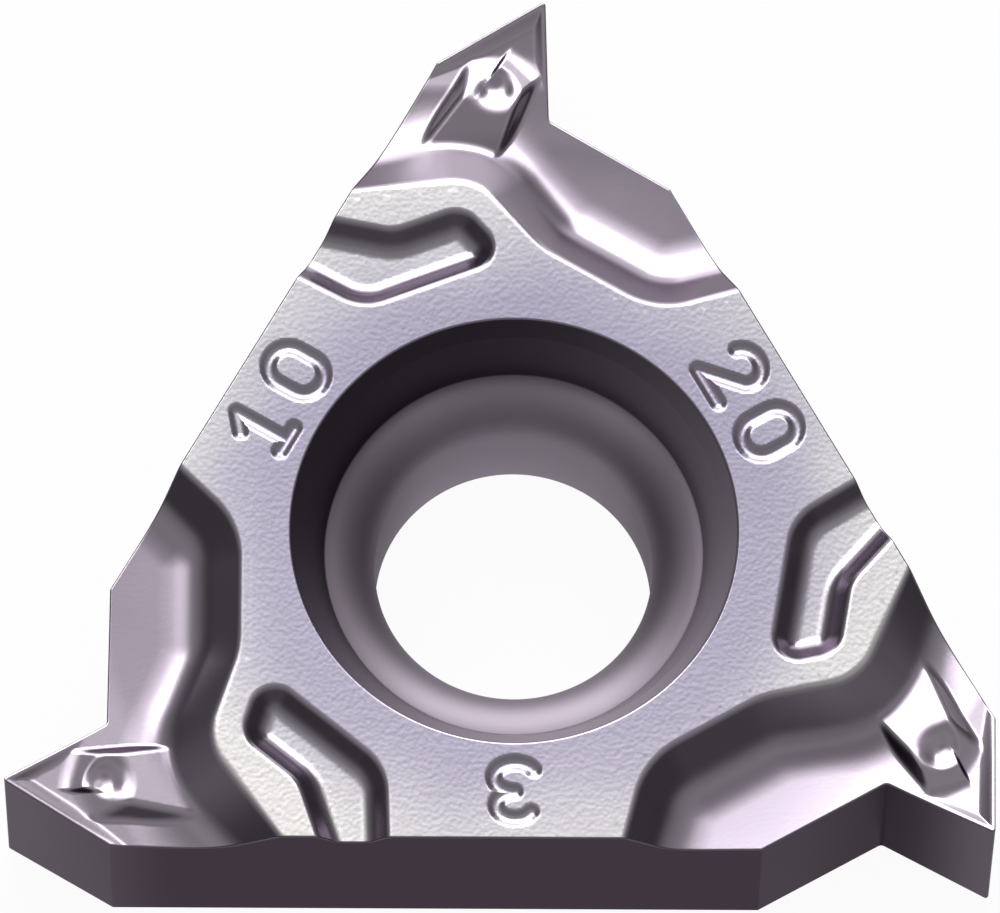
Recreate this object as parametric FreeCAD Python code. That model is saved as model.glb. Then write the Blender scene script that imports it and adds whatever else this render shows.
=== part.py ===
import FreeCAD, Part
import math
import os

# A laydown threading insert: one pressed and sintered piece with three identical corners.
# Frame: the origin is on the hole axis in the seat face, +Z points from the seat face to the
# chip face, and +Y points at one cutting corner. Millimetres and degrees.

# Body
inscribed_circle = 9.525
thickness = 3.44
corners = 3

# Cutting profile, measured in plan from the sharp corner of the triangle
tip_across = 0.442
tip_below_corner = 1.119
bisector_heading = 60.0
long_flank_angle = 30.6
short_flank_angle = 31.8
short_flank_length = 1.80
heel_heading = -30.7
notch_radius = 0.09
tip_radius = 0.045

# Rake face behind the cutting point, and heel land beside it
tip_depth = 0.20
rake_angle = 11.0
rake_heading = 78.0
heel_depth = 0.54
heel_angle = 7.0

# Chip groove: the edge of the raised plateau runs from one long side to the next
edge_start_above_middle = 3.39
edge_end_above_middle = 1.62
edge_crest_across = -0.585
edge_crest_below_corner = 4.006
edge_waist_across = 0.404
edge_waist_below_corner = 5.111
edge_heel_across = 2.093
edge_heel_below_corner = 6.086
edge_crest_radius = 0.85
valley_waist_radius = 0.35
valley_heel_radius = 0.10
groove_depth = 0.66
groove_wall_angle = 45.0
valley_radius = 1.23

# Bent slot in the plateau, open to the long side
slot_depth = 0.26
slot_wall_width = 0.29
slot_mouth_outer_above_middle = 2.87
slot_mouth_inner_above_middle = 1.82
slot_bend_outer_across = -1.791
slot_bend_outer_below_corner = 4.837
slot_end_outer_across = -0.764
slot_end_outer_below_corner = 4.446
slot_end_inner_across = -0.043
slot_end_inner_below_corner = 5.247
slot_bend_inner_across = -2.244
slot_bend_inner_below_corner = 6.084
slot_bend_outer_radius = 0.60
slot_end_outer_floor_radius = 0.14
slot_end_inner_floor_radius = 0.08
slot_bend_inner_floor_radius = 0.55

# Small chip pocket behind the two cutting edges
edge_land_width = 0.06
pocket_depth = 0.08
long_band_width = 0.19
short_band_width = 0.12
pocket_rear_below_corner = 2.25
pocket_rear_width = 0.16

# Raised chip breaker behind the pocket, with two front slopes that meet at a step
breaker_height = 0.25
breaker_rear_left_across = -1.35
breaker_rear_left_below_corner = 3.325
breaker_rear_right_across = -0.29
breaker_rear_right_below_corner = 3.535
breaker_right_across = 0.02
breaker_right_below_corner = 2.655
breaker_left_across = -0.72
breaker_left_below_corner = 2.525
breaker_right_slope_width = 0.25
breaker_left_slope_width = 0.33
breaker_front_slope_width = 0.62
left_foot_across = -0.70
left_foot_below_corner = 1.935
left_foot_heading = -3.0
right_foot_across = 0.42
right_foot_below_corner = 2.165
right_foot_heading = -33.7
step_across = -0.15
step_below_corner = 1.905
step_heading = 61.2

# Ramp that closes the gap between the breaker's rear edge and the groove wall
ramp_length = 0.50
ramp_rise = 0.17

# Round dish in the front of the chip breaker, with a small flat ledge in its middle
dish_across = -0.28
dish_below_corner = 2.345
dish_radius = 0.45
ledge_radius = 0.15
ledge_height = 0.17

# Screw hole: rim chamfer, tapered wall, rounded screw seat and bore
rim_radius = 3.30
rim_chamfer_width = 0.20
rim_chamfer_depth = 0.25
seat_outer_radius = 2.80
seat_depth = 1.10
seat_curve_radius = 0.76
bore_radius = 2.05

# Working allowances of the cutting solids, not seen on the finished piece
overcut = 0.2
overrun = 1.2

half_circle = inscribed_circle / 2
corner_y = inscribed_circle
top = thickness


def heading(angle):
    """Unit vector in plan at an angle from +X."""
    return FreeCAD.Vector(math.cos(math.radians(angle)), math.sin(math.radians(angle)), 0)


def left_of(direction):
    return FreeCAD.Vector(-direction.y, direction.x, 0)


def at_corner(across, below_corner):
    """Point in plan, placed from the sharp corner of the triangle."""
    return FreeCAD.Vector(across, corner_y - below_corner, 0)


def on_side(side, above_middle):
    """Point on the left (-1) or right (+1) long side, up from the side's middle."""
    middle = FreeCAD.Vector(side * half_circle * math.cos(math.radians(30)), half_circle / 2, 0)
    along = FreeCAD.Vector(-side * 0.5, math.cos(math.radians(30)), 0)
    return middle + along * above_middle


def meet(point_a, along_a, point_b, along_b):
    """Crossing of two lines in plan."""
    cross = along_a.x * along_b.y - along_a.y * along_b.x
    gap = point_b - point_a
    return point_a + along_a * ((gap.x * along_b.y - gap.y * along_b.x) / cross)


def lifted(points, height):
    """The plan points raised to a height given as a function of place."""
    return [FreeCAD.Vector(p.x, p.y, height(p)) for p in points]


def polygon_face(points):
    return Part.Face(Part.makePolygon(list(points) + [points[0]]))


def shifted_corners(points, widths):
    """Closed outline, counter-clockwise, with side i moved outward by widths[i]."""
    lines = []
    for start, end, width in zip(points, points[1:] + points[:1], widths):
        along = (end - start).normalize()
        lines.append((start - left_of(along) * width, along))
    return [meet(*lines[i - 1], *lines[i]) for i in range(len(lines))]


def tapered_block(foot, foot_height, crown, crown_height):
    """Solid between two outlines whose sides are parallel."""
    wires = []
    for points, height in ((foot, foot_height), (crown, crown_height)):
        raised = lifted(points, height)
        wires.append(Part.makePolygon(raised + [raised[0]]))
    return Part.makeLoft(wires, True, True)


class RoundedPath:
    """Runs joined by tangent arcs. A positive shift moves the path to its left."""

    def __init__(self, points, radii, shift=0.0):
        headings = [(b - a).normalize() for a, b in zip(points, points[1:])]
        moved = [p + left_of(h) * shift for p, h in zip(points, headings)]
        corners_at = [meet(moved[i], headings[i], moved[i + 1], headings[i + 1])
                      for i in range(len(radii))]
        last = points[-1] + left_of(headings[-1]) * shift
        self.runs = []
        self.bends = []
        start = moved[0]
        for i, radius in enumerate(radii):
            turn = headings[i].x * headings[i + 1].y - headings[i].y * headings[i + 1].x
            side = math.copysign(1.0, turn)
            actual = radius - side * shift
            angle = math.atan2(abs(turn), headings[i].dot(headings[i + 1]))
            reach = actual * math.tan(angle / 2)
            enter = corners_at[i] - headings[i] * reach
            leave = corners_at[i] + headings[i + 1] * reach
            centre = enter + left_of(headings[i]) * (side * actual)
            middle = centre + (corners_at[i] - centre).normalize() * actual
            self.runs.append((start, enter))
            self.bends.append((centre, actual, side, enter, leave, middle, math.degrees(angle)))
            start = leave
        self.runs.append((start, last))

    def edges(self, height):
        lift = FreeCAD.Vector(0, 0, height)
        found = []
        for i, (start, end) in enumerate(self.runs):
            found.append(Part.LineSegment(start + lift, end + lift).toShape())
            if i < len(self.bends):
                enter, leave, middle = self.bends[i][3:6]
                found.append(Part.Arc(enter + lift, middle + lift, leave + lift).toShape())
        return found

    def ends(self, height):
        lift = FreeCAD.Vector(0, 0, height)
        return self.runs[0][0] + lift, self.runs[-1][1] + lift


def cutting_profile():
    """Plan points of one corner: side, flank, tip, flank, notch, heel, side."""
    tip = at_corner(tip_across, tip_below_corner)
    long_flank = heading(bisector_heading - long_flank_angle)
    short_flank = heading(bisector_heading + short_flank_angle)
    notch = tip - short_flank * short_flank_length
    left_side = heading(60)
    right_side = heading(120)
    shoulder = meet(tip, long_flank, on_side(-1, 0), left_side)
    heel = meet(notch, heading(heel_heading), on_side(1, 0), right_side)
    return shoulder, tip, notch, heel


def turned(shape, index):
    copy = shape.copy()
    copy.rotate(FreeCAD.Vector(0, 0, 0), FreeCAD.Vector(0, 0, 1), index * 360.0 / corners)
    return copy


def rounded_uprights(prism, place, radius):
    """The prism with the upright edge at this plan point, and its two copies, rounded."""
    found = []
    for i in range(corners):
        corner = turned(Part.Vertex(place), i).Point
        for edge in prism.Edges:
            ends = [v.Point for v in edge.Vertexes]
            upright = abs(ends[0].z - ends[-1].z) > thickness / 2
            if upright and math.hypot(ends[0].x - corner.x, ends[0].y - corner.y) < radius / 2:
                found.append(edge)
    return prism.makeFillet(radius, found)


def blank():
    """Upright prism of the whole outline, with the notches and the cutting points rounded."""
    points = []
    for i in range(corners):
        turn = FreeCAD.Rotation(FreeCAD.Vector(0, 0, 1), i * 360.0 / corners)
        points += [turn.multVec(p) for p in reversed(cutting_profile())]
    prism = polygon_face(points).extrude(FreeCAD.Vector(0, 0, thickness))
    shoulder, tip, notch, heel = cutting_profile()
    return rounded_uprights(rounded_uprights(prism, notch, notch_radius), tip, tip_radius)


def rake_height(point):
    """Height of the rake face, which rises toward the cutting point."""
    tip = cutting_profile()[1]
    climb = (point - tip).dot(heading(rake_heading)) * math.tan(math.radians(rake_angle))
    return top - tip_depth + climb


def heel_height(point):
    """Height of the heel land, which rises toward the heel edge."""
    notch = cutting_profile()[2]
    outward = left_of(heading(heel_heading))
    return top - heel_depth + (point - notch).dot(outward) * math.tan(math.radians(heel_angle))


def space_above(height):
    """Large block above a sloping plane, over one whole corner."""
    reach = inscribed_circle
    square = [FreeCAD.Vector(x, y, 0) for x, y in
              ((-reach, 0), (reach, 0), (reach, 2 * reach), (-reach, 2 * reach))]
    base = polygon_face(lifted(square, height))
    return base.extrude(FreeCAD.Vector(0, 0, 2 * reach))


def groove_section():
    """Groove wall and valley: distance out from the plateau edge against height."""
    slope = math.radians(groove_wall_angle)
    straight_drop = groove_depth - valley_radius * (1 - math.cos(slope))
    straight_out = straight_drop / math.tan(slope)
    valley_out = straight_out + valley_radius * math.sin(slope)
    centre_z = top - groove_depth + valley_radius
    half = slope / 2
    middle = (valley_out - valley_radius * math.sin(half), centre_z - valley_radius * math.cos(half))
    return straight_out, straight_drop, valley_out, middle


def section_face(place):
    """Cross-section of the groove cutter, placed by a function of distance and height."""
    straight_out, straight_drop, valley_out, middle = groove_section()
    back = -overcut / math.tan(math.radians(groove_wall_angle))
    rim = place(back, top + overcut)
    foot = place(straight_out, top - straight_drop)
    valley = place(valley_out, top - groove_depth)
    above = place(valley_out, top + overcut)
    edges = [Part.LineSegment(rim, foot).toShape(),
             Part.Arc(foot, place(*middle), valley).toShape(),
             Part.LineSegment(valley, above).toShape(),
             Part.LineSegment(above, rim).toShape()]
    return Part.Face(Part.Wire(edges))


def plateau_edge():
    """Edge of the raised plateau in plan, run past the long sides at both ends."""
    first = on_side(-1, edge_start_above_middle)
    crest = at_corner(edge_crest_across, edge_crest_below_corner)
    waist = at_corner(edge_waist_across, edge_waist_below_corner)
    heel = at_corner(edge_heel_across, edge_heel_below_corner)
    last = on_side(1, edge_end_above_middle)
    start = first + (first - crest).normalize() * overrun
    end = last + (last - heel).normalize() * overrun
    valley_out = groove_section()[2]
    radii = (edge_crest_radius, valley_waist_radius + valley_out, valley_heel_radius + valley_out)
    return [start, crest, waist, heel, end], radii


def groove_cutter():
    """Chip groove: profile run along the plateau edge, then all that lies beyond the valley."""
    points, radii = plateau_edge()
    path = RoundedPath(points, radii)
    pieces = []
    for start, end in path.runs:
        outward = left_of((end - start).normalize())
        face = section_face(lambda out, z: start + outward * out + FreeCAD.Vector(0, 0, z))
        pieces.append(face.extrude(end - start))
    for centre, radius, side, enter, leave, middle, angle in path.bends:
        outward = (centre - enter).normalize() * side
        face = section_face(lambda out, z: enter + outward * out + FreeCAD.Vector(0, 0, z))
        pieces.append(face.revolve(centre, FreeCAD.Vector(0, 0, side), angle))
    valley = RoundedPath(points, radii, groove_section()[2])
    floor = top - groove_depth
    first, last = valley.ends(floor)
    beyond = [last, FreeCAD.Vector(last.x, 2 * corner_y, floor),
              FreeCAD.Vector(first.x, 2 * corner_y, floor), first]
    outline = valley.edges(floor) + Part.makePolygon(beyond).Edges
    outer = Part.Face(Part.Wire(outline)).extrude(FreeCAD.Vector(0, 0, groove_depth + overcut))
    whole = pieces[0].multiFuse(pieces[1:] + [outer])
    return whole.common(space_above(rake_height)).common(space_above(heel_height))


def slot_wire(shift, height):
    outer_mouth = on_side(-1, slot_mouth_outer_above_middle)
    inner_mouth = on_side(-1, slot_mouth_inner_above_middle)
    outer_bend = at_corner(slot_bend_outer_across, slot_bend_outer_below_corner)
    outer_end = at_corner(slot_end_outer_across, slot_end_outer_below_corner)
    inner_end = at_corner(slot_end_inner_across, slot_end_inner_below_corner)
    inner_bend = at_corner(slot_bend_inner_across, slot_bend_inner_below_corner)
    start = outer_mouth + (outer_mouth - outer_bend).normalize() * overrun
    end = inner_mouth + (inner_mouth - inner_bend).normalize() * overrun
    radii = (slot_bend_outer_radius, slot_end_outer_floor_radius + slot_wall_width,
             slot_end_inner_floor_radius + slot_wall_width,
             slot_bend_inner_floor_radius + slot_wall_width)
    path = RoundedPath([start, outer_bend, outer_end, inner_end, inner_bend, end], radii, -shift)
    first, last = path.ends(height)
    return Part.Wire(path.edges(height) + [Part.LineSegment(last, first).toShape()])


def slot_cutter():
    """Bent slot with sloping walls and a flat floor."""
    spread = slot_wall_width * overcut / slot_depth
    crown = slot_wire(-spread, top + overcut)
    floor = slot_wire(slot_wall_width, top - slot_depth)
    return Part.makeLoft([floor, crown], True, True)


def pocket_cutter():
    """Shallow pocket between the two cutting edges, with a sloping band along each."""
    tip = cutting_profile()[1]
    long_flank = heading(bisector_heading - long_flank_angle)
    short_flank = heading(bisector_heading + short_flank_angle)

    def outline(long_inset, short_inset, rear_inset):
        long_line = tip - left_of(long_flank) * long_inset
        short_line = tip + left_of(short_flank) * short_inset
        rear = at_corner(0, pocket_rear_below_corner - rear_inset)
        return [meet(short_line, short_flank, rear, heading(0)),
                meet(short_line, short_flank, long_line, long_flank),
                meet(rear, heading(0), long_line, long_flank)]

    spread = overcut / pocket_depth
    crown = outline(edge_land_width - long_band_width * spread,
                    edge_land_width - short_band_width * spread,
                    -pocket_rear_width * spread)
    floor = outline(edge_land_width + long_band_width, edge_land_width + short_band_width,
                    pocket_rear_width)
    return tapered_block(floor, lambda p: rake_height(p) - pocket_depth,
                         crown, lambda p: rake_height(p) + overcut)


def breaker_block(foot, foot_heading):
    """Raised block whose front slope rises from a line in plan."""
    rear_left = at_corner(breaker_rear_left_across, breaker_rear_left_below_corner)
    rear_right = at_corner(breaker_rear_right_across, breaker_rear_right_below_corner)
    right_along = at_corner(breaker_right_across, breaker_right_below_corner) - rear_right
    left_along = at_corner(breaker_left_across, breaker_left_below_corner) - rear_left
    front_along = heading(foot_heading)
    front = foot - left_of(front_along) * breaker_front_slope_width
    crown = [rear_left, rear_right, meet(front, front_along, rear_right, right_along),
             meet(front, front_along, rear_left, left_along)]
    visible = breaker_height + pocket_depth
    sunk = (visible + overcut) / visible
    widths = (0, breaker_right_slope_width, breaker_front_slope_width, breaker_left_slope_width)
    base = shifted_corners(crown, [w * sunk for w in widths])
    return tapered_block(base, lambda p: rake_height(p) - pocket_depth - overcut,
                         crown, lambda p: rake_height(p) + breaker_height)


def side_of_step(side):
    """Tall block on the left (1) or right (-1) of the step between the front slopes."""
    along = heading(step_heading)
    start = at_corner(step_across, step_below_corner)
    reach = inscribed_circle
    points = [start - along * reach, start + along * reach,
              start + along * reach + left_of(along) * side * reach,
              start - along * reach + left_of(along) * side * reach]
    return polygon_face(points).extrude(FreeCAD.Vector(0, 0, 2 * top))


def rear_ramp():
    """Wedge that rises from the breaker's rear edge into the groove wall."""
    left = at_corner(breaker_rear_left_across, breaker_rear_left_below_corner)
    right = at_corner(breaker_rear_right_across, breaker_rear_right_below_corner)
    back = left_of((right - left).normalize()) * -ramp_length
    section = []
    for point in (left, right):
        edge = rake_height(point) + breaker_height
        foot = edge - pocket_depth - breaker_height - overcut
        far = point + back
        section.append([FreeCAD.Vector(point.x, point.y, foot), FreeCAD.Vector(far.x, far.y, foot),
                        FreeCAD.Vector(far.x, far.y, edge + ramp_rise),
                        FreeCAD.Vector(point.x, point.y, edge)])
    wires = [Part.makePolygon(points + [points[0]]) for points in section]
    return Part.makeLoft(wires, True, True)


def chip_breaker():
    """Raised block with a step in its front, a ramp behind it and a round dish."""
    left_foot = at_corner(left_foot_across, left_foot_below_corner)
    right_foot = at_corner(right_foot_across, right_foot_below_corner)
    left_part = breaker_block(left_foot, left_foot_heading + 180).common(side_of_step(1))
    right_part = breaker_block(right_foot, right_foot_heading + 180).common(side_of_step(-1))
    middle = at_corner(dish_across, dish_below_corner)
    middle.z = rake_height(middle) - pocket_depth + ledge_height
    climb = heading(rake_heading) * math.tan(math.radians(rake_angle))
    upright = FreeCAD.Vector(-climb.x, -climb.y, 1).normalize()
    depth = breaker_height + pocket_depth - ledge_height
    flare = (dish_radius - ledge_radius) / depth
    tall = depth + overcut
    dish = Part.makeCone(ledge_radius, ledge_radius + flare * tall, tall, middle, upright)
    return left_part.fuse([right_part, rear_ramp()]).cut(dish)


def screw_hole():
    """Revolved cutter of the hole, with a rounded seat for the screw head."""
    rim = FreeCAD.Vector(rim_radius, 0, top)
    throat = FreeCAD.Vector(rim_radius - rim_chamfer_width, 0, top - rim_chamfer_depth)
    seat = FreeCAD.Vector(seat_outer_radius, 0, top - seat_depth)
    centre_x = bore_radius + seat_curve_radius
    seat_drop = math.sqrt(seat_curve_radius ** 2 - (centre_x - seat_outer_radius) ** 2)
    neck = FreeCAD.Vector(bore_radius, 0, top - seat_depth - seat_drop)
    turn = math.atan2(seat_drop, centre_x - seat_outer_radius) / 2
    middle = FreeCAD.Vector(centre_x - seat_curve_radius * math.cos(turn), 0,
                            neck.z + seat_curve_radius * math.sin(turn))
    above = FreeCAD.Vector(rim_radius, 0, top + overcut)
    axis_top = FreeCAD.Vector(0, 0, top + overcut)
    axis_foot = FreeCAD.Vector(0, 0, -overcut)
    foot = FreeCAD.Vector(bore_radius, 0, -overcut)
    edges = [Part.LineSegment(axis_top, above).toShape(),
             Part.LineSegment(above, rim).toShape(),
             Part.LineSegment(rim, throat).toShape(),
             Part.LineSegment(throat, seat).toShape(),
             Part.Arc(seat, middle, neck).toShape(),
             Part.LineSegment(neck, foot).toShape(),
             Part.LineSegment(foot, axis_foot).toShape(),
             Part.LineSegment(axis_foot, axis_top).toShape()]
    return Part.Face(Part.Wire(edges)).revolve(FreeCAD.Vector(0, 0, 0), FreeCAD.Vector(0, 0, 1), 360)


def insert():
    cutters = []
    breakers = []
    groove = groove_cutter()
    slot = slot_cutter()
    pocket = pocket_cutter()
    breaker = chip_breaker()
    for i in range(corners):
        cutters += [turned(groove, i), turned(slot, i), turned(pocket, i)]
        breakers.append(turned(breaker, i))
    outline = blank()
    body = outline.cut(cutters)
    body = body.fuse([b.common(outline) for b in breakers])
    body = body.cut(screw_hole())
    return body.removeSplitter()


os.makedirs("parts", exist_ok=True)
solid = insert()
solid.exportStep("parts/threading_insert.step")
print("solids", len(solid.Solids), "valid", solid.isValid(), "volume", round(solid.Volume, 3),
      "faces", len(solid.Faces), "box", solid.BoundBox)
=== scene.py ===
import math
import bpy
import numpy as np
from mathutils import Matrix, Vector
from mathutils.geometry import delaunay_2d_cdt


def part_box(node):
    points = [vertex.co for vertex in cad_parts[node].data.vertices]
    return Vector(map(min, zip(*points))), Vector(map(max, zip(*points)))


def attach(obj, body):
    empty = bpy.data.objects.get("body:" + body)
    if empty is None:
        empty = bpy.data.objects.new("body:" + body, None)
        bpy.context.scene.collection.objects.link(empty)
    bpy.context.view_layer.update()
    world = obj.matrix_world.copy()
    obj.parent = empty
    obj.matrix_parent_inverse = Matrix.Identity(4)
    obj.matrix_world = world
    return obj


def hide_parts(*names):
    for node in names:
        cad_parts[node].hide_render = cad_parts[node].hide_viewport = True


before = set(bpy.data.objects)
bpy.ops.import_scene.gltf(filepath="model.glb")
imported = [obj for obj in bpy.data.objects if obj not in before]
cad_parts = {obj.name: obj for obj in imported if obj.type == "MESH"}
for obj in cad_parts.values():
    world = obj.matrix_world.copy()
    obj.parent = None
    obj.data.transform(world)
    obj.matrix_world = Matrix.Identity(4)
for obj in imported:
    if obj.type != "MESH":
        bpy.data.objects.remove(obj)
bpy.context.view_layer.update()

MM = 0.001

# Sizes below are in millimetres and degrees, most of them as in the part's source. In plan, the
# sharp corner of the triangle is on +Y, and heights of the chip face are measured from the plateau.
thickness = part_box("threading_insert")[1][2] / MM
inscribed_circle = 9.525
corners = 3

# Cutting profile
tip_across = 0.442
tip_below_corner = 1.119
bisector_heading = 60.0
long_flank_angle = 30.6
short_flank_angle = 31.8
short_flank_length = 1.80
heel_heading = -30.7
notch_radius = 0.09
tip_radius = 0.045
corner_radius = 0.04

# Rake face and heel land
tip_depth = 0.20
rake_angle = 11.0
rake_heading = 78.0
heel_depth = 0.54
heel_angle = 7.0

# Chip groove
edge_start_above_middle = 3.39
edge_end_above_middle = 1.62
edge_crest = (-0.585, 4.006)
edge_waist = (0.404, 5.111)
edge_heel = (2.093, 6.086)
edge_radii = (0.85, 1.52, 1.27)
groove_depth = 0.66
groove_wall_angle = 41.0
valley_radius = 1.23
plateau_round = 0.05
land_round = 0.12
valley_round = 0.30

# Bent slot
slot_depth = 0.26
slot_wall_width = 0.29
slot_mouths_above_middle = (2.87, 1.82)
slot_corners = ((-1.791, 4.837), (-0.764, 4.446), (-0.043, 5.247), (-2.244, 6.084))
slot_radii = (0.60, 0.43, 0.37, 0.84)
slot_round = 0.05
slot_floor_round = 0.11

# Pocket behind the cutting edges
edge_land_width = 0.06
pocket_depth = 0.08
long_band_width = 0.19
short_band_width = 0.12
pocket_rear_below_corner = 2.25
pocket_end_width = 0.45
pocket_rear_share = 0.4
pocket_round = 0.2

# Chip breaker: a raised block, with two front slopes at different levels and a round dish
breaker_height = 0.25
breaker_crown = ((-1.35, 3.325), (-0.29, 3.535), (0.02, 2.655), (-0.72, 2.525))
breaker_left_slope = 0.33
breaker_right_slope = 0.25
front_left_foot = ((-0.70, 1.935), (-0.33, 1.955))
front_right_foot = ((-0.12, 1.805), (0.42, 2.165))
front_slope = 0.62
step_line = ((-0.15, 1.905), (-0.37, 2.305))
step_width = 0.08
dish_middle = (-0.28, 2.345)
dish_radius = 0.45
breaker_round = 0.07
breaker_foot_round = 0.06
breaker_rear_easing = 0.28
ledge_radius = 0.15
ledge_height = 0.17

# Screw hole: radius and depth of the corners of its wall, and the rounding at each
hole_line = ((3.45, 0.0), (3.30, 0.0), (3.10, 0.25), (2.80, 1.10), (2.05, 1.10))
hole_rounds = (0.05, 0.04, 0.02, 0.75)
bore_radius = 2.05
beyond_bore = 2.3
hole_spacing = 0.06
hole_segments = 200

# Edges
edge_round = 0.03
seat_edge_round = 0.035
round_steps = 4
wall_levels = (0.02, 0.35, 0.7, 1.0)

# Spacing of the chip face's points
coarse_spacing = 0.2
groove_spacing = 0.07
fine_spacing = 0.022
edge_spacing = 0.012
edge_band = 0.05
breaker_middle = (-0.45, 2.6)
breaker_reach = 0.98
finest_cell = 0.015
grid_reach = 8.5

half_circle = inscribed_circle / 2
overrun = 1.2


def unit(v):
    return v / np.hypot(v[..., 0], v[..., 1])[..., None]


def heading(angle):
    return np.array([math.cos(math.radians(angle)), math.sin(math.radians(angle))])


def left_of(v):
    return np.stack([-v[..., 1], v[..., 0]], axis=-1)


def at_corner(across, below_corner):
    return np.array([across, inscribed_circle - below_corner])


def on_side(side, above_middle):
    middle = np.array([side * half_circle * math.cos(math.radians(30)), half_circle / 2])
    return middle + np.array([-side * 0.5, math.cos(math.radians(30))]) * above_middle


def cross(a, b):
    return a[..., 0] * b[..., 1] - a[..., 1] * b[..., 0]


def meet(point_a, along_a, point_b, along_b):
    return point_a + along_a * (cross(point_b - point_a, along_b) / cross(along_a, along_b))


def smooth_min(a, b, width):
    part = np.clip(0.5 + 0.5 * (b - a) / width, 0.0, 1.0)
    return b + (a - b) * part - width * part * (1 - part)


def smooth_max(a, b, width):
    return -smooth_min(-a, -b, width)


def ramp(value, start, end):
    part = np.clip((value - start) / (end - start), 0.0, 1.0)
    return part * part * (3 - 2 * part)


def rounded(points, radii, spacing, closed=False):
    """Points and left-hand normals along runs joined by arcs."""
    points = [np.array(p, float) for p in points]
    count = len(points)
    bends = []
    for i, radius in zip(range(count) if closed else range(1, count - 1), radii):
        here = points[i]
        h0, h1 = unit(here - points[i - 1]), unit(points[(i + 1) % count] - here)
        turn = math.atan2(cross(h0, h1), float(h0 @ h1))
        reach = radius * math.tan(abs(turn) / 2)
        bends.append((here - h0 * reach, here + h1 * reach, h0, turn, radius))
    places, normals = [], []

    def add_run(start, end, with_end=False):
        steps = max(1, int(math.ceil(np.hypot(*(end - start)) / spacing)))
        for k in range(steps + with_end):
            places.append(start + (end - start) * (k / steps))
            normals.append(left_of(unit(end - start)))

    start = bends[-1][1] if closed else points[0]
    for enter, leave, h0, turn, radius in bends:
        add_run(start, enter)
        centre = enter + left_of(h0) * math.copysign(radius, turn)
        steps = max(3, int(math.ceil(abs(turn) * max(radius / spacing, 180 / 12 / math.pi))))
        for k in range(steps):
            angle = turn * k / steps
            spin = np.array([[math.cos(angle), -math.sin(angle)], [math.sin(angle), math.cos(angle)]])
            places.append(centre + spin @ (enter - centre))
            normals.append(spin @ left_of(h0))
        start = leave
    if not closed:
        add_run(start, points[-1], with_end=True)
    return np.array(places), np.array(normals)


class Path:
    """Runs joined by arcs, for distances measured to the left of it."""

    def __init__(self, points, radii):
        self.runs, self.bends = [], []
        start = points[0]
        for i, radius in enumerate(radii):
            here = points[i + 1]
            h0, h1 = unit(here - points[i]), unit(points[i + 2] - here)
            turn = math.atan2(cross(h0, h1), float(h0 @ h1))
            reach = radius * math.tan(abs(turn) / 2)
            enter, leave = here - h0 * reach, here + h1 * reach
            side = math.copysign(1.0, turn)
            self.runs.append((start, enter))
            self.bends.append((enter + left_of(h0) * radius * side, radius, side, enter, leave))
            start = leave
        self.runs.append((start, points[-1]))

    def left_distance(self, p):
        best = np.full(len(p), 1e9)
        for start, end in self.runs:
            along = unit(end - start)
            rel = p - start
            t = np.clip(rel @ along, 0, np.hypot(*(end - start)))
            side = np.where(cross(along, rel) < 0, -1.0, 1.0)
            gap = side * np.hypot(*(rel - t[:, None] * along).T)
            best = np.where(np.abs(gap) < np.abs(best), gap, best)
        for centre, radius, side, enter, leave in self.bends:
            rel = p - centre
            inside = (cross(enter - centre, rel) * side >= 0) & (cross(rel, leave - centre) * side >= 0)
            gap = side * (radius - np.hypot(*rel.T))
            best = np.where(inside & (np.abs(gap) < np.abs(best)), gap, best)
        return best


def cutting_profile():
    tip = at_corner(tip_across, tip_below_corner)
    long_flank = heading(bisector_heading - long_flank_angle)
    short_flank = heading(bisector_heading + short_flank_angle)
    notch = tip - short_flank * short_flank_length
    shoulder = meet(tip, long_flank, on_side(-1, 0), heading(60))
    heel = meet(notch, heading(heel_heading), on_side(1, 0), heading(120))
    return shoulder, tip, notch, heel, long_flank, short_flank


shoulder_at, tip_at, notch_at, heel_at, long_flank, short_flank = cutting_profile()


def plateau_path():
    first, last = on_side(-1, edge_start_above_middle), on_side(1, edge_end_above_middle)
    crest, waist, heel = at_corner(*edge_crest), at_corner(*edge_waist), at_corner(*edge_heel)
    points = [first + unit(first - crest) * overrun, crest, waist, heel,
              last + unit(last - heel) * overrun]
    return Path(points, edge_radii)


def slot_path():
    first, last = (on_side(-1, above) for above in slot_mouths_above_middle)
    inner = [at_corner(*c) for c in slot_corners]
    points = ([first + unit(first - inner[0]) * overrun] + inner
              + [last + unit(last - inner[-1]) * overrun])
    return Path(points, slot_radii)


plateau_edge = plateau_path()
slot_edge = slot_path()


def rake_height(p):
    return -tip_depth + ((p - tip_at) @ heading(rake_heading)) * math.tan(math.radians(rake_angle))


def heel_height(p):
    outward = left_of(heading(heel_heading))
    return -heel_depth + ((p - notch_at) @ outward) * math.tan(math.radians(heel_angle))


def groove_profile(out):
    """Height of the groove wall and valley at a distance out from the plateau edge."""
    slope = math.radians(groove_wall_angle)
    drop = groove_depth - valley_radius * (1 - math.cos(slope))
    straight = drop / math.tan(slope)
    valley_out = straight + valley_radius * math.sin(slope)
    wall = -out * math.tan(slope)
    span = np.clip(valley_out - out, 0, valley_radius * math.sin(slope))
    arc = -groove_depth + valley_radius - np.sqrt(valley_radius ** 2 - span ** 2)
    height = np.where(out < straight, wall, arc)
    return smooth_min(height, 0.0 * out, plateau_round)


def edge_distances(p):
    """Distance in from the long and from the short cutting edge."""
    return -((p - tip_at) @ left_of(long_flank)), (p - tip_at) @ left_of(short_flank)


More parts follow.
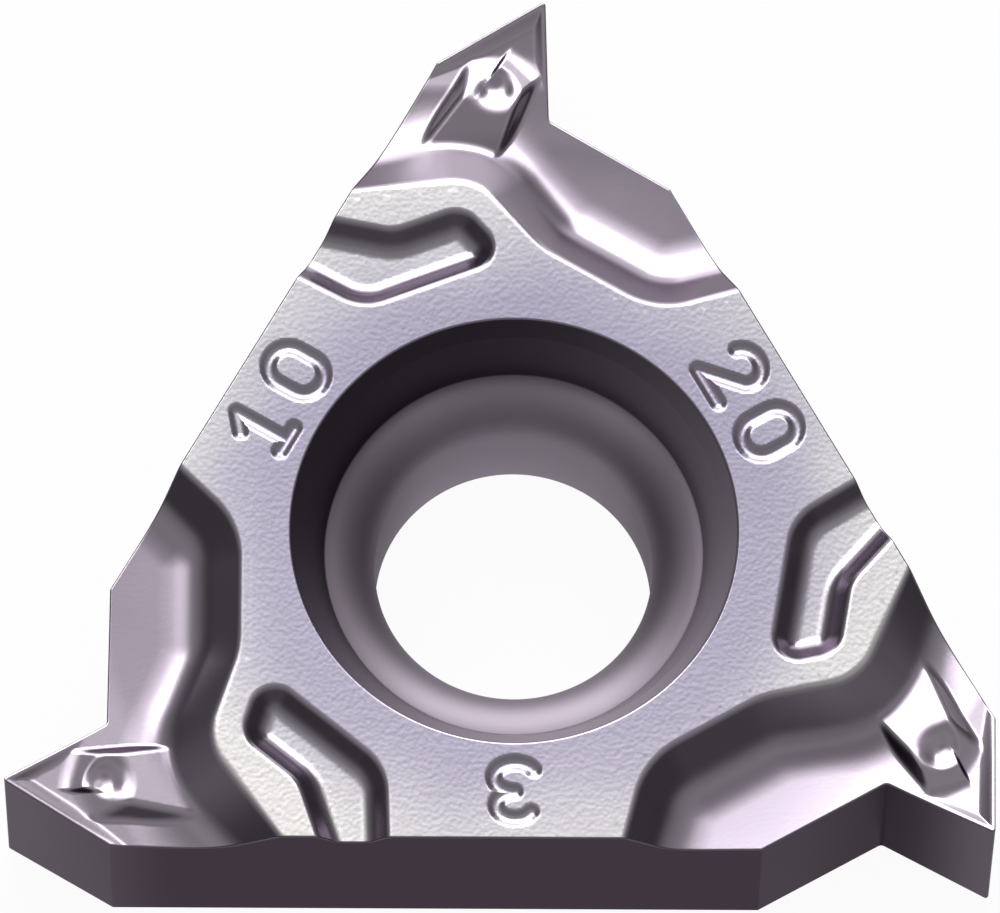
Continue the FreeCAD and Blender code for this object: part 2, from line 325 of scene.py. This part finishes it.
def pocket_drop(p):
    into_long, into_short = edge_distances(p)
    by_long = (into_long - edge_land_width) / long_band_width
    by_short = (into_short - edge_land_width) / short_band_width
    by_rear = (p[:, 1] - inscribed_circle + pocket_rear_below_corner) / pocket_end_width
    part = smooth_min(smooth_min(by_long, by_short, pocket_round), by_rear + pocket_rear_share, pocket_round)
    part = smooth_min(part, 1.0 + 0 * part, pocket_round)
    return pocket_depth * smooth_max(part, 0 * part, pocket_round)


def above_line(p, start, end, height, reach):
    """Height of a plane that rises from the line start-end, to its right, by height over reach."""
    return ((p - start) @ -left_of(unit(end - start))) * height / reach


def breaker_level(p):
    """Height of the chip breaker above the floor of the pocket."""
    full = breaker_height + pocket_depth
    rear_left, rear_right, front_right, front_left = (at_corner(*c) for c in breaker_crown)
    left = full + above_line(p, rear_left, front_left, full, breaker_left_slope)
    right = full + above_line(p, front_right, rear_right, full, breaker_right_slope)
    nose = above_line(p, *(at_corner(*c) for c in front_right_foot), full, front_slope)
    front = above_line(p, *(at_corner(*c) for c in front_left_foot), full, front_slope)
    step_from, step_to = (at_corner(*c) for c in step_line)
    past_step = (p - step_from) @ left_of(unit(step_to - step_from))
    front = front + (nose - front) * ramp(past_step, -step_width / 2, step_width / 2)
    reach = np.hypot(*(p - at_corner(*dish_middle)).T)
    dish = ledge_height + (reach - ledge_radius) * (full - ledge_height) / (dish_radius - ledge_radius)
    dish = smooth_max(dish, ledge_height + 0 * dish, 0.05)
    level = smooth_min(smooth_min(left, right, breaker_round), full + 0 * left, breaker_round)
    return smooth_min(smooth_min(level, front, breaker_round), dish, breaker_round)


def corner_height(p):
    out = plateau_edge.left_distance(p)
    rake, heel = rake_height(p), heel_height(p)
    lands = smooth_max(rake - pocket_drop(p), heel, land_round)
    crest_left, crest_right = (at_corner(*c)[0] for c in breaker_crown[:2])
    behind = (ramp(p[:, 0], crest_left - 1.0, crest_left + 0.2)
              * ramp(-p[:, 0], -crest_right - 1.3, -crest_right + 0.3))
    floor = smooth_max(groove_profile(out * (1 - breaker_rear_easing * behind)), lands, valley_round)
    floor = smooth_max(floor, rake - pocket_depth + breaker_level(p), breaker_foot_round)
    # The chip face never rises above the plateau
    raised = smooth_min(floor, 0 * out, 0.001)
    height = np.where(out > -3 * plateau_round, raised, 0 * out)
    into = -slot_edge.left_distance(p)
    wall = -slot_depth * into / slot_wall_width
    slot = smooth_max(wall, -slot_depth + 0 * wall, slot_floor_round)
    return smooth_min(height, slot, slot_round)


def turn_points(p, angle):
    c, s = math.cos(math.radians(angle)), math.sin(math.radians(angle))
    return p @ np.array([[c, s], [-s, c]])


# Marks: plain numbers pressed in beside the middle of each side
mark_texts = ("10", "20", "3")
mark_height = 0.86
mark_width = 0.60
mark_gap = 0.46
mark_foot = 3.60
mark_reach = 0.15
mark_depth = 0.05


def arc(x, y, radius_x, radius_y, start, end):
    """Points of an elliptic arc, for angles in degrees."""
    steps = int(math.ceil(abs(end - start) / 15))
    turns = [math.radians(start + (end - start) * k / steps) for k in range(steps + 1)]
    return [(x + radius_x * math.cos(t), y + radius_y * math.sin(t)) for t in turns]


# Strokes of each sign, in shares of its width and height
glyphs = {
    "0": [arc(0.5, 0.66, 0.5, 0.34, 0, 180) + arc(0.5, 0.34, 0.5, 0.34, 180, 360) + [(1.0, 0.66)]],
    "1": [[(0.2, 0.76), (0.6, 1.0), (0.6, 0.0)], [(0.25, 0.0), (0.95, 0.0)]],
    "2": [arc(0.5, 0.71, 0.48, 0.29, 170, -30) + [(0.0, 0.0), (1.0, 0.0)]],
    "3": [arc(0.46, 0.76, 0.46, 0.24, 150, -90) + arc(0.46, 0.26, 0.52, 0.26, 90, -150)[1:]],
}


def mark_strokes():
    """Start and end of every stroke in plan."""
    found = []
    for number, text in enumerate(mark_texts):
        out = heading(150 - 120 * number)
        along = -left_of(out)
        base = out * mark_foot
        width = len(text) * mark_width + (len(text) - 1) * mark_gap
        for i, letter in enumerate(text):
            corner = base + along * (i * (mark_width + mark_gap) - width / 2)
            for line in glyphs[letter]:
                places = [corner + along * u * mark_width + out * v * mark_height for u, v in line]
                found += list(zip(places, places[1:]))
    return found


strokes = mark_strokes()


def mark_distance(p):
    best = np.full(len(p), 1e9)
    for start, end in strokes:
        near = np.hypot(*(p - (start + end) / 2).T) < 1.0
        if not near.any():
            continue
        q = p[near]
        along = unit(end - start)
        t = np.clip((q - start) @ along, 0, np.hypot(*(end - start)))
        best[near] = np.minimum(best[near], np.hypot(*(q - start - t[:, None] * along).T))
    return best


def nearest_corner(p):
    """Number of the corner each point belongs to."""
    angle = np.degrees(np.arctan2(p[:, 1], p[:, 0])) - 90
    return np.round(angle / 120).astype(int) % corners


def chip_face(p):
    """Height of the whole chip face below the plateau."""
    height = np.zeros(len(p))
    which = nearest_corner(p)
    for i in range(corners):
        mine = which == i
        height[mine] = corner_height(turn_points(p[mine], -120 * i))
    gap = mark_distance(p)
    part = np.clip(gap / mark_reach, 0, 1)
    return height - mark_depth * (1 - part ** 2) ** 2


def face_normals(p, height=chip_face):
    step = 0.004
    dx, dy = np.array([step, 0]), np.array([0, step])
    slope_x = (height(p + dx) - height(p - dx)) / (2 * step)
    slope_y = (height(p + dy) - height(p - dy)) / (2 * step)
    n = np.stack([-slope_x, -slope_y, np.ones(len(p))], axis=1)
    return n / np.linalg.norm(n, axis=1)[:, None]


def outline(spacing=0.045):
    points, radii = [], []
    for i in range(corners):
        for point, radius in ((heel_at, corner_radius), (notch_at, notch_radius),
                              (tip_at, tip_radius), (shoulder_at, corner_radius)):
            points.append(turn_points(point[None], 120 * i)[0])
            radii.append(radius)
    places, normals = rounded(points, radii, spacing, closed=True)
    return places, -normals


def mesh_size(p):
    """Wanted spacing of the chip face's points."""
    which = nearest_corner(p)
    size = np.full(len(p), coarse_spacing)
    for i in range(corners):
        mine = which == i
        q = turn_points(p[mine], -120 * i)
        out = plateau_edge.left_distance(q)
        into = -slot_edge.left_distance(q)
        near = np.minimum(np.abs(out), np.abs(into))
        near = np.minimum(near, np.abs(into - slot_wall_width))
        s = fine_spacing + 0.4 * np.clip(near - 0.07, 0, 1)
        s = np.where((out > 0) | (into > 0), np.minimum(s, groove_spacing), s)
        s = np.where(np.abs(out) < edge_band, edge_spacing, s)
        breaker_gap = np.hypot(*(q - at_corner(*breaker_middle)).T) - breaker_reach
        tip_gap = np.hypot(*(q - tip_at - heading(240) * 0.7).T) - 0.8
        s = np.minimum(s, fine_spacing + 0.3 * np.clip(np.minimum(breaker_gap, tip_gap), 0, 9))
        size[mine] = np.minimum(size[mine], s)
    size = np.minimum(size, fine_spacing + 0.5 * np.clip(mark_distance(p) - mark_reach - 0.03, 0, 9))
    hole_gap = np.hypot(*p.T) - hole_line[1][0]
    return np.minimum(size, 0.05 + 0.4 * np.clip(hole_gap, 0, 9))


def graded_points(ring, ring_normals, rim):
    """Centres of square cells, each as small as the wanted spacing."""
    side = coarse_spacing
    steps = np.arange(-grid_reach, grid_reach + 0.1, side)
    cells = np.stack(np.meshgrid(steps, steps), axis=-1).reshape(-1, 2)
    done = []
    while len(cells):
        clear = np.hypot(*cells.T) > rim - side
        cells = cells[clear]
        small = mesh_size(cells) >= side * 0.8
        if side < finest_cell:
            small[:] = True
        done.append(np.c_[cells[small], np.full(small.sum(), side)])
        rest = cells[~small]
        side /= 2
        cells = np.concatenate([rest + np.array([a, b]) * side / 2 for a in (-1, 1) for b in (-1, 1)])
    found = np.concatenate(done)
    p, s = found[:, :2], found[:, 2]
    keep = np.hypot(*p.T) > rim + 0.35 * s
    p, s = p[keep], s[keep]
    keep = np.ones(len(p), bool)
    for first in range(0, len(p), 4000):
        block = p[first:first + 4000]
        gap = block[:, None, :] - ring[None, :, :]
        nearest = np.argmin((gap ** 2).sum(axis=2), axis=1)
        rel = block - ring[nearest]
        inward = -(rel * ring_normals[nearest]).sum(axis=1)
        keep[first:first + 4000] = inward > 0.4 * np.minimum(s[first:first + 4000], 0.05)
    return p[keep]


class Mesh:
    def __init__(self):
        self.places, self.normals, self.faces, self.total = [], [], [], 0

    def add(self, places, normals):
        numbers = np.arange(self.total, self.total + len(places))
        self.places.append(places)
        self.normals.append(normals)
        self.total += len(places)
        return numbers

    def join(self, ring_a, ring_b):
        """Band of quads between two closed rings, facing away from their left side."""
        after_a, after_b = np.roll(ring_a, -1), np.roll(ring_b, -1)
        self.faces.append(np.stack([ring_a, ring_b, after_b, after_a], axis=1))

    def build(self, name):
        mesh = bpy.data.meshes.new(name)
        used = np.unique(np.concatenate([block.ravel() for block in self.faces]))
        places = np.concatenate(self.places)[used] * MM
        normals = np.concatenate(self.normals)[used]
        faces = [f for block in self.faces for f in np.searchsorted(used, block).tolist()]
        mesh.from_pydata([tuple(v) for v in places.tolist()], [], faces)
        mesh.shade_smooth()
        mesh.normals_split_custom_set_from_vertices([tuple(n) for n in normals.tolist()])
        piece = bpy.data.objects.new(name, mesh)
        bpy.context.collection.objects.link(piece)
        return piece


def flat(places, z):
    return np.c_[places, np.full(len(places), z)]


def triangles_around_hole(plan, loops, hole_radius, upward):
    """Triangles of a face between its outer loop and the hole, turned to face up or down."""
    found = delaunay_2d_cdt([tuple(v) for v in plan.tolist()], loops, [], 1, 1e-7)
    source = np.array([v[0] if v else -1 for v in found[3]])
    triangles = source[np.array(found[2])]
    centres = plan[triangles].mean(axis=1)
    triangles = triangles[(np.hypot(*centres.T) > hole_radius * 0.9999) & (triangles.min(axis=1) >= 0)]
    a, b, c = (plan[triangles[:, k]] for k in range(3))
    flip = cross(b - a, c - a) * (1 if upward else -1) < 0
    triangles[flip] = triangles[flip][:, ::-1]
    return triangles


def build_insert():
    body = Mesh()
    ring, ring_normals = outline()
    up = np.array([0.0, 0.0, 1.0])
    out3 = np.c_[ring_normals, np.zeros(len(ring))]

    # Chip face, from the inner side of the rounded outer edge to the hole's rim
    wall_points = [(r, -z) for r, z in hole_line]
    wall_points += [(bore_radius, -thickness), (beyond_bore, -thickness)]
    rim_line, rim_normals = rounded(wall_points, list(hole_rounds) + [seat_edge_round], hole_spacing)
    rim = rim_line[1][0]
    turns = np.arange(hole_segments) * 2 * math.pi / hole_segments
    spokes = np.stack([np.cos(turns), np.sin(turns)], axis=1)
    inner = ring - ring_normals * edge_round
    rim_ring = spokes * rim
    loose = graded_points(inner, ring_normals, rim)
    plan = np.concatenate([inner, rim_ring, loose])
    heights = chip_face(plan)
    normals = face_normals(plan)
    numbers = body.add(np.c_[plan, heights + thickness], normals)
    count, rim_count = len(inner), len(rim_ring)
    loops = [(i, (i + 1) % count) for i in range(count)]
    loops += [(count + i, count + (i + 1) % rim_count) for i in range(rim_count)]
    body.faces.append(triangles_around_hole(plan, loops, rim, upward=True))

    # Rounded outer edge and side walls
    ring_before = numbers[:count]
    top_z = heights[:count] + thickness
    top_n = normals[:count]
    for k in range(1, round_steps + 1):
        angle = math.radians(90 * k / round_steps)
        places = np.c_[inner + ring_normals * edge_round * math.sin(angle),
                       top_z - edge_round * (1 - math.cos(angle))]
        n = top_n * math.cos(angle) + out3 * math.sin(angle)
        ring_now = body.add(places, n / np.linalg.norm(n, axis=1)[:, None])
        body.join(ring_before, ring_now)
        ring_before = ring_now
    wall_top = top_z - edge_round
    for part in wall_levels:
        places = np.c_[ring, wall_top + (seat_edge_round - wall_top) * part]
        ring_now = body.add(places, out3)
        body.join(ring_before, ring_now)
        ring_before = ring_now
    for k in range(1, round_steps + 1):
        angle = math.radians(90 * k / round_steps)
        places = flat(ring - ring_normals * seat_edge_round * (1 - math.cos(angle)),
                      seat_edge_round * (1 - math.sin(angle)))
        ring_now = body.add(places, out3 * math.cos(angle) - up * math.sin(angle))
        body.join(ring_before, ring_now)
        ring_before = ring_now
    bottom_outer = ring_before
    bottom_outer_plan = ring - ring_normals * seat_edge_round

    # Hole wall
    ring_before = numbers[count:count + rim_count]
    for (radius, z), (nr, nz) in zip(rim_line[2:-1], rim_normals[2:-1]):
        wall_normals = np.c_[spokes * -nr, np.full(hole_segments, -nz)]
        ring_now = body.add(flat(spokes * radius, z + thickness), wall_normals)
        body.join(ring_now, ring_before)
        ring_before = ring_now
    bottom_inner = ring_before
    bottom_radius = rim_line[-2][0]

    # Seat face
    plan = np.concatenate([bottom_outer_plan, spokes * bottom_radius])
    seat_numbers = np.concatenate([bottom_outer, bottom_inner])
    body.faces.append(seat_numbers[triangles_around_hole(plan, loops, bottom_radius, upward=False)])
    return body.build("insert_body")


insert = build_insert()
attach(insert, "root")
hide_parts("threading_insert")


# Camera: fitted to the photograph's view, looking down on the chip face
camera_data = bpy.data.cameras.new("camera")
camera_data.sensor_width = 36.0
camera_data.lens = 611.87
camera_data.clip_start = 0.01
camera_data.clip_end = 10.0
camera = bpy.data.objects.new("camera", camera_data)
bpy.context.collection.objects.link(camera)
right = (0.99998031, 0.00318658, 0.00540589)
down = (0.00478829, -0.94427546, -0.32912144)
forward = (0.00405588, 0.32914085, -0.94427213)
place = (-1.22847654, -81.26018158, 236.40825343 + thickness)
camera.matrix_world = Matrix(((right[0], -down[0], -forward[0], place[0] * MM),
                              (right[1], -down[1], -forward[1], place[1] * MM),
                              (right[2], -down[2], -forward[2], place[2] * MM),
                              (0, 0, 0, 1)))
bpy.context.scene.camera = camera


# Floor
floor_mesh = bpy.data.meshes.new("floor")
floor_mesh.from_pydata([(-3, -3, 0), (3, -3, 0), (3, 3, 0), (-3, 3, 0)], [], [(0, 1, 2, 3)])
floor = bpy.data.objects.new("floor", floor_mesh)
bpy.context.collection.objects.link(floor)


def new_material(name):
    material = bpy.data.materials.new(name)
    material.use_nodes = True
    material.node_tree.nodes.clear()
    return material, material.node_tree


def node(tree, kind, **values):
    made = tree.nodes.new(kind)
    for key, value in values.items():
        if key.startswith("in_"):
            made.inputs[key[3:].replace("_", " ")].default_value = value
        else:
            setattr(made, key, value)
    return made


def noise(tree, vector, scale, detail):
    made = node(tree, "ShaderNodeTexNoise", in_Scale=scale, in_Detail=detail, in_Roughness=0.5)
    tree.links.new(vector, made.inputs["Vector"])
    return made.outputs["Fac"]


def spread(tree, value, low, high, to_low=0.0, to_high=1.0):
    """Value mapped smoothly from low-high to to_low-to_high."""
    made = node(tree, "ShaderNodeMapRange", interpolation_type="SMOOTHSTEP")
    limits = {"From Min": low, "From Max": high, "To Min": to_low, "To Max": to_high}
    for name, number in limits.items():
        made.inputs[name].default_value = number
    tree.links.new(value, made.inputs["Value"])
    return made.outputs["Result"]


def math_node(tree, operation, a, b=None):
    made = node(tree, "ShaderNodeMath", operation=operation)
    for i, value in enumerate((a, b)):
        if value is None:
            continue
        if isinstance(value, (int, float)):
            made.inputs[i].default_value = value
        else:
            tree.links.new(value, made.inputs[i])
    return made.outputs[0]


def mixed(tree, factor, a, b):
    made = node(tree, "ShaderNodeMix", data_type="RGBA")
    tree.links.new(factor, made.inputs[0])
    for i, value in ((6, a), (7, b)):
        if isinstance(value, tuple):
            made.inputs[i].default_value = value + (1.0,)
        else:
            tree.links.new(value, made.inputs[i])
    return made.outputs[2]


def tinted(tree, color, tint):
    made = node(tree, "ShaderNodeMix", data_type="RGBA", blend_type="MULTIPLY")
    made.inputs[0].default_value = 1.0
    tree.links.new(color, made.inputs[6])
    tree.links.new(tint, made.inputs[7])
    return made.outputs[2]


floor_material, tree = new_material("floor")
shade = node(tree, "ShaderNodeBsdfDiffuse", in_Color=(0.9, 0.9, 0.9, 1))
glow = node(tree, "ShaderNodeEmission", in_Color=(1, 1, 1, 1), in_Strength=1.0)
rays = node(tree, "ShaderNodeLightPath")
seen = math_node(tree, "ADD", rays.outputs["Is Camera Ray"], rays.outputs["Is Glossy Ray"])
seen = math_node(tree, "ADD", seen, rays.outputs["Is Transmission Ray"])
mix = node(tree, "ShaderNodeMixShader")
output = node(tree, "ShaderNodeOutputMaterial")
tree.links.new(math_node(tree, "MULTIPLY", math_node(tree, "MINIMUM", seen, 1.0), 0.95), mix.inputs[0])
tree.links.new(shade.outputs[0], mix.inputs[1])
tree.links.new(glow.outputs[0], mix.inputs[2])
tree.links.new(mix.outputs[0], output.inputs["Surface"])
floor_mesh.materials.append(floor_material)


# Coated carbide: lilac-grey satin coating over a pressed face with a fine pebbly grain, with painted shade
# on the steep faces, the sides (partly their own darker ground tone) and their notches, and painted light
# and shade across the face and in the hole
carbide, tree = new_material("coated_carbide")
shader = node(tree, "ShaderNodeBsdfPrincipled", in_Metallic=1.0, in_Specular_Tint=(0.45, 0.43, 0.45, 1))
output = node(tree, "ShaderNodeOutputMaterial")
tree.links.new(shader.outputs[0], output.inputs["Surface"])
where = node(tree, "ShaderNodeTexCoord")
place = where.outputs["Object"]
axes = node(tree, "ShaderNodeSeparateXYZ")
tree.links.new(place, axes.inputs[0])
facing = node(tree, "ShaderNodeSeparateXYZ")
tree.links.new(where.outputs["Normal"], facing.inputs[0])
x_squared, y_squared = (math_node(tree, "MULTIPLY", axes.outputs[k], axes.outputs[k]) for k in (0, 1))
radius = math_node(tree, "SQRT", math_node(tree, "ADD", x_squared, y_squared))
near_tip = spread(tree, radius, 5.3 * MM, 5.9 * MM, 0.0, 0.20 * MM)
flatness = spread(tree, facing.outputs[2], 0.62, 0.90)
level = spread(tree, math_node(tree, "SUBTRACT", axes.outputs[2], near_tip),
               (thickness - 0.34) * MM, (thickness - 0.27) * MM)
on_plateau = math_node(tree, "MULTIPLY", level, spread(tree, facing.outputs[2], 0.90, 0.98))
upward = spread(tree, facing.outputs[2], 0.05, 0.35)
cloud = noise(tree, place, 380.0, 3.0)
outward = spread(tree, math_node(tree, "ADD", radius, math_node(tree, "MULTIPLY", cloud, 1.6 * MM)),
                 4.2 * MM, 6.6 * MM)
face_color = mixed(tree, outward, (0.31, 0.287, 0.375), (0.53, 0.515, 0.525))
# Painted light and shade: the chip face is painted lighter towards the front and darker towards the back
painted_front_light = mixed(tree, spread(tree, axes.outputs[1], -5.0 * MM, 5.0 * MM),
                 (1.18, 1.18, 1.14), (0.86, 0.86, 0.86))
face_color = tinted(tree, face_color, painted_front_light)
groove_color = mixed(tree, cloud, (0.33, 0.284, 0.346), (0.395, 0.348, 0.41))
groove_color = mixed(tree, spread(tree, radius, 6.1 * MM, 6.5 * MM), groove_color, (0.45, 0.395, 0.465))
top_color = mixed(tree, on_plateau, groove_color, face_color)
# Painted shade: steep faces of the chip face are painted dark
top_color = mixed(tree, flatness, (0.11, 0.09, 0.115), top_color)
in_hole = spread(tree, radius, 3.27 * MM, 3.31 * MM, 1.0, 0.0)
# Side walls: dark, partly their own ground tone and partly painted shade, painted lighter from the middle of
# each side towards the corners
side_color_and_shade = mixed(tree, spread(tree, radius, 6.8 * MM, 8.4 * MM),
                   (0.066, 0.053, 0.067), (0.15, 0.13, 0.155))
in_plan = node(tree, "ShaderNodeCombineXYZ")
tree.links.new(axes.outputs[0], in_plan.inputs[0])
tree.links.new(axes.outputs[1], in_plan.inputs[1])
# Painted shade: the side walls are painted darker around each notch
for i in range(corners):
    middle = turn_points(notch_at[None], 120 * i)[0]
    from_notch = node(tree, "ShaderNodeVectorMath", operation="DISTANCE")
    tree.links.new(in_plan.outputs[0], from_notch.inputs[0])
    from_notch.inputs[1].default_value = (middle[0] * MM, middle[1] * MM, 0.0)
    side_color_and_shade = mixed(tree, spread(tree, from_notch.outputs["Value"], 0.1 * MM, 1.7 * MM, 0.55, 0.0),
                       side_color_and_shade, (0.0, 0.0, 0.0))
# Painted light and shade in the hole: the cone wall is painted dark on its upper-left and light on its
# lower-right, and the seat is painted darker at its left and right sides
in_seat = spread(tree, axes.outputs[2], (thickness - 1.12) * MM, (thickness - 1.06) * MM, 1.0, 0.0)
hole_lit_side = spread(tree, math_node(tree, "SUBTRACT", axes.outputs[0], axes.outputs[1]),
                     -4.0 * MM, 4.0 * MM)
seat_shaded_sides = spread(tree, math_node(tree, "ABSOLUTE", axes.outputs[0]), 1.2 * MM, 2.7 * MM)
hole_painted_light = mixed(tree, in_seat, mixed(tree, hole_lit_side, (0.08, 0.065, 0.083), (0.40, 0.35, 0.41)),
                   mixed(tree, seat_shaded_sides, (0.36, 0.32, 0.37), (0.17, 0.145, 0.175)))
color = mixed(tree, in_hole, mixed(tree, upward, side_color_and_shade, top_color), hole_painted_light)
tree.links.new(color, shader.inputs["Base Color"])
grain = noise(tree, place, 15500.0, 0.0)
fine = noise(tree, place, 25000.0, 0.0)
satin = math_node(tree, "ADD", spread(tree, on_plateau, 0.0, 1.0, 0.20, 0.27),
                  math_node(tree, "MULTIPLY", cloud, 0.03))
roughness = math_node(tree, "ADD", satin, math_node(tree, "MULTIPLY", in_hole, 0.40))
tree.links.new(roughness, shader.inputs["Roughness"])
grain_share = spread(tree, on_plateau, 0, 1, 0.12, 1.0)
pebbles = math_node(tree, "ADD", math_node(tree, "MULTIPLY", grain, grain_share),
                    math_node(tree, "MULTIPLY", fine, 0.12))
bump = node(tree, "ShaderNodeBump", in_Strength=0.08, in_Distance=0.02 * MM)
tree.links.new(pebbles, bump.inputs["Height"])
tree.links.new(bump.outputs[0], shader.inputs["Normal"])
insert.data.materials.append(carbide)


# Light: a large soft lamp behind, and a dim surround with soft glows around and below the lamp
world = bpy.data.worlds.new("world")
bpy.context.scene.world = world
world.use_nodes = True
tree = world.node_tree
tree.nodes.clear()
surround = node(tree, "ShaderNodeBackground", in_Color=(1, 1, 1, 1))
sky = node(tree, "ShaderNodeTexCoord")
sky_axes = node(tree, "ShaderNodeSeparateXYZ")
tree.links.new(sky.outputs["Generated"], sky_axes.inputs[0])
overhead = spread(tree, sky_axes.outputs[2], 0.25, 0.97, 0.12, 0.46)
toward_lamp = math_node(tree, "ADD", math_node(tree, "MULTIPLY", sky_axes.outputs[1], 0.57),
                        math_node(tree, "MULTIPLY", sky_axes.outputs[2], 0.82))
glow = spread(tree, toward_lamp, 0.94, 0.975, 0.0, 1.1)
low_glow = spread(tree, sky_axes.outputs[1], 0.70, 0.93, 0.0, 1.25)
front = spread(tree, sky_axes.outputs[1], -0.75, -0.20, 0.75, 1.0)
overhead = math_node(tree, "MULTIPLY", overhead, front)
zenith = spread(tree, sky_axes.outputs[2], 0.95, 1.0, 1.0, 0.72)
overhead = math_node(tree, "MULTIPLY", overhead, zenith)
low_front = math_node(tree, "MULTIPLY", spread(tree, sky_axes.outputs[1], -0.85, -0.45, 0.10, 0.0),
                      spread(tree, sky_axes.outputs[2], 0.08, 0.30))
overhead = math_node(tree, "ADD", overhead, low_front)
left_glow = math_node(tree, "MULTIPLY", spread(tree, sky_axes.outputs[0], -0.18, -0.05, 1.2, 0.0),
                      spread(tree, sky_axes.outputs[0], -0.52, -0.28, 0.0, 1.0))
left_glow = math_node(tree, "MULTIPLY", left_glow, spread(tree, sky_axes.outputs[1], 0.15, 0.30))
glow = math_node(tree, "ADD", glow, left_glow)
strength = math_node(tree, "ADD", math_node(tree, "ADD", overhead, glow), low_glow)
tree.links.new(strength, surround.inputs["Strength"])
output = node(tree, "ShaderNodeOutputWorld")
tree.links.new(surround.outputs[0], output.inputs["Surface"])


def area_lamp(name, azimuth, elevation, distance, width, height, power):
    data = bpy.data.lights.new(name, "AREA")
    data.shape = "RECTANGLE"
    data.size, data.size_y = width, height
    data.energy = power
    lamp = bpy.data.objects.new(name, data)
    bpy.context.collection.objects.link(lamp)
    a, e = math.radians(azimuth), math.radians(elevation)
    toward = np.array([math.cos(e) * math.cos(a), math.cos(e) * math.sin(a), math.sin(e)])
    x_axis = np.array([-math.sin(a), math.cos(a), 0.0])
    y_axis = np.cross(toward, x_axis)
    place = toward * distance
    lamp.matrix_world = Matrix([list(row) for row in np.block(
        [[x_axis[:, None], y_axis[:, None], toward[:, None], place[:, None]],
         [np.array([[0.0, 0.0, 0.0, 1.0]])]])])


area_lamp("key", azimuth=93, elevation=42, distance=0.6, width=0.50, height=0.42, power=2.6)

bpy.context.scene.view_settings.view_transform = "Standard"
